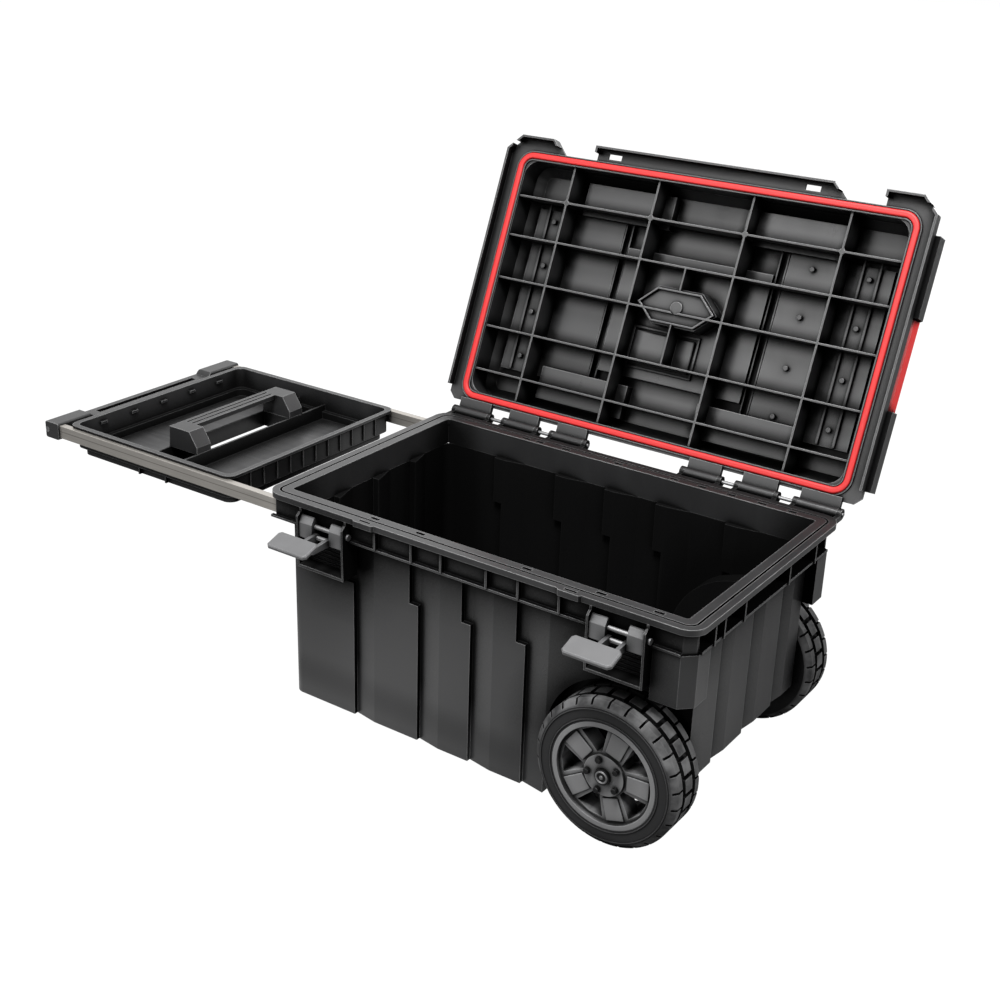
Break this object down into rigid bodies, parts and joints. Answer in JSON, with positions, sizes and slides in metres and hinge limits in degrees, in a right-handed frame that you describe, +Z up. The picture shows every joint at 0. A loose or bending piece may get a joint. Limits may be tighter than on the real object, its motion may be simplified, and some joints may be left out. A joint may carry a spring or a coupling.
{
  "type": "jobsite storage box",
  "caption": "Wheeled plastic job box with a hinged ribbed lid, draw latches, a pull-out rail handle carrying a lift-off tray, and large treaded wheels.",
  "frame": {"origin": "on the floor under the middle of the tub, on the sole of the middle runner", "axes": "+X towards the wheels, -X towards the pull handle, -Y towards the latches, +Z up"},
  "size_m": [1.1071, 0.6802, 0.7014],
  "materials": {
    "black_plastic": "satin moulded",
    "latch_plastic": "satin moulded",
    "red_plastic": "semi-gloss moulded",
    "red_seal": "soft foam",
    "rail_aluminium": "brushed",
    "steel": "bright zinc",
    "tyre_rubber": "moulded tread",
    "wheel_plastic": "satin moulded"
  },
  "bodies": {
    "tub": {"tub_shell": "black_plastic", "tub_floor": "black_plastic", "rim_frame": "black_plastic", "skid_runners": "black_plastic", "rail_guide_front": "black_plastic", "rail_guide_rear": "black_plastic", "hinge_pin_left": "steel", "hinge_pin_right": "steel", "latch_seat_left": "black_plastic", "latch_seat_right": "black_plastic", "latch_axle_left": "steel", "latch_axle_right": "steel", "axle_front": "steel", "axle_rear": "steel", "axle_nut_front": "steel", "axle_nut_rear": "steel", "axle_cap_front": "steel", "axle_cap_rear": "steel"},
    "lid": {"lid_shell": "black_plastic", "lid_ribs": "black_plastic", "lid_gasket": "red_seal", "clip_bracket_left": "black_plastic", "clip_bracket_right": "black_plastic", "clip_pin_left": "steel", "clip_pin_right": "steel"},
    "clip_left": {"end_clip_left": "red_plastic"},
    "clip_right": {"end_clip_right": "red_plastic"},
    "handle": {"rail_front": "rail_aluminium", "rail_rear": "rail_aluminium", "rail_plug_front": "black_plastic", "rail_plug_rear": "black_plastic", "crossbar": "black_plastic", "crossbar_screws": "steel"},
    "tray": {"tray_shell": "black_plastic", "tray_grip": "black_plastic"},
    "latch_left": {"latch_arms_left": "latch_plastic", "latch_rod_left": "steel"},
    "flap_left": {"latch_flap_left": "latch_plastic"},
    "latch_right": {"latch_arms_right": "latch_plastic", "latch_rod_right": "steel"},
    "flap_right": {"latch_flap_right": "latch_plastic"},
    "wheel_front": {"tyre_front": "tyre_rubber", "wheel_rim_front": "wheel_plastic", "wheel_bush_front": "wheel_plastic", "wheel_bolts_front": "steel"},
    "wheel_rear": {"tyre_rear": "tyre_rubber", "wheel_rim_rear": "wheel_plastic", "wheel_bush_rear": "wheel_plastic", "wheel_bolts_rear": "steel"}
  },
  "joints": [
    {"name": "lid_hinge", "type": "hinge", "parent": "tub", "child": "lid", "pos_m": [0, 0.211, 0.3098], "axis": [1, 0, 0], "range_deg": [0, 112.8]},
    {"name": "handle_slide", "type": "slide", "parent": "tub", "child": "handle", "axis": [1, 0, 0], "range_m": [0, 0.4]},
    {"name": "tray_lift", "type": "slide", "parent": "handle", "child": "tray", "axis": [0, 0, 1], "range_m": [0, 0.52]},
    {"name": "end_clip_left", "type": "hinge", "parent": "lid", "child": "clip_left", "pos_m": [-0.322, 0.30649, 0.49258], "axis": [0, 0.3875, 0.9219], "range_deg": [0, 30]},
    {"name": "latch_arm_left", "type": "hinge", "parent": "tub", "child": "latch_left", "pos_m": [-0.2205, -0.194, 0.28], "axis": [-1, 0, 0], "range_deg": [0, 27]},
    {"name": "latch_flap_left", "type": "hinge", "parent": "latch_left", "child": "flap_left", "pos_m": [-0.2205, -0.197, 0.267], "axis": [1, 0, 0], "range_deg": [0, 122]},
    {"name": "end_clip_right", "type": "hinge", "parent": "lid", "child": "clip_right", "pos_m": [0.322, 0.30649, 0.49258], "axis": [0, -0.3875, -0.9219], "range_deg": [0, 30]},
    {"name": "latch_arm_right", "type": "hinge", "parent": "tub", "child": "latch_right", "pos_m": [0.2205, -0.194, 0.28], "axis": [-1, 0, 0], "range_deg": [0, 27]},
    {"name": "latch_flap_right", "type": "hinge", "parent": "latch_right", "child": "flap_right", "pos_m": [0.2205, -0.197, 0.267], "axis": [1, 0, 0], "range_deg": [0, 122]},
    {"name": "wheel_front_spin", "type": "hinge", "parent": "tub", "child": "wheel_front", "pos_m": [0.223, -0.183, 0.097], "axis": [0, 1, 0], "continuous": true},
    {"name": "wheel_rear_spin", "type": "hinge", "parent": "tub", "child": "wheel_rear", "pos_m": [0.223, 0.183, 0.097], "axis": [0, 1, 0], "continuous": true}
  ],
  "couplings": [
    {"joint": "tray_lift", "follows": "handle_slide", "ratio": 1.3},
    {"joint": "latch_flap_left", "follows": "latch_arm_left", "ratio": 4.5},
    {"joint": "latch_flap_right", "follows": "latch_arm_right", "ratio": 4.5}
  ]
}
